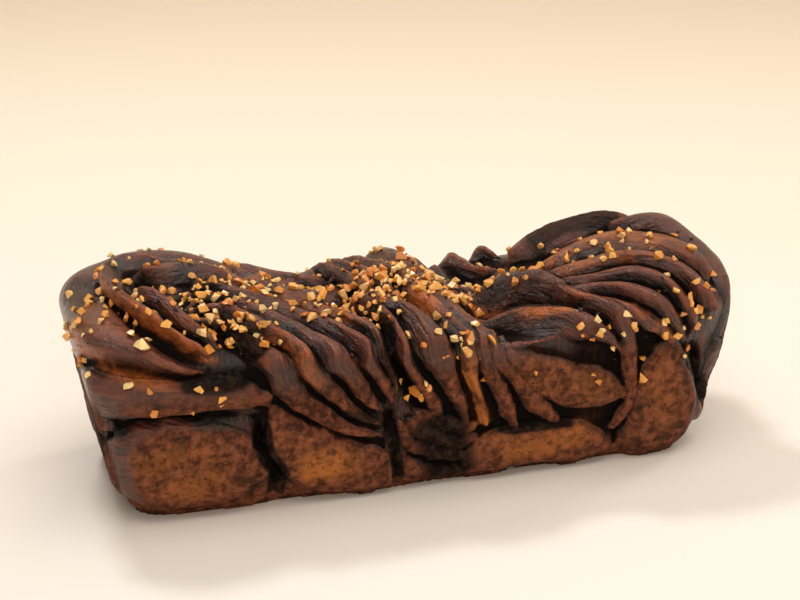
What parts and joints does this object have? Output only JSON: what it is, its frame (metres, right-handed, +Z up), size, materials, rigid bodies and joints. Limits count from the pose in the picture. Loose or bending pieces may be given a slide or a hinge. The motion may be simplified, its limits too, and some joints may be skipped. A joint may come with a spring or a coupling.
{
  "type": "chocolate babka loaf",
  "caption": "Long twisted chocolate babka baked in a loaf tin: folded layers, domed ends, dark glaze and chopped nuts fused to its crust.",
  "frame": {"origin": "centre of the loaf's flat underside", "axes": "+X along the loaf, -Y the side that faces the viewer, +Z up"},
  "size_m": [0.2842, 0.1043, 0.0951],
  "materials": {
    "glazed_crust": "very dark red-brown baked crust with a glossy sugar glaze"
  },
  "bodies": {
    "root": {"loaf": "glazed_crust"}
  },
  "joints": []
}
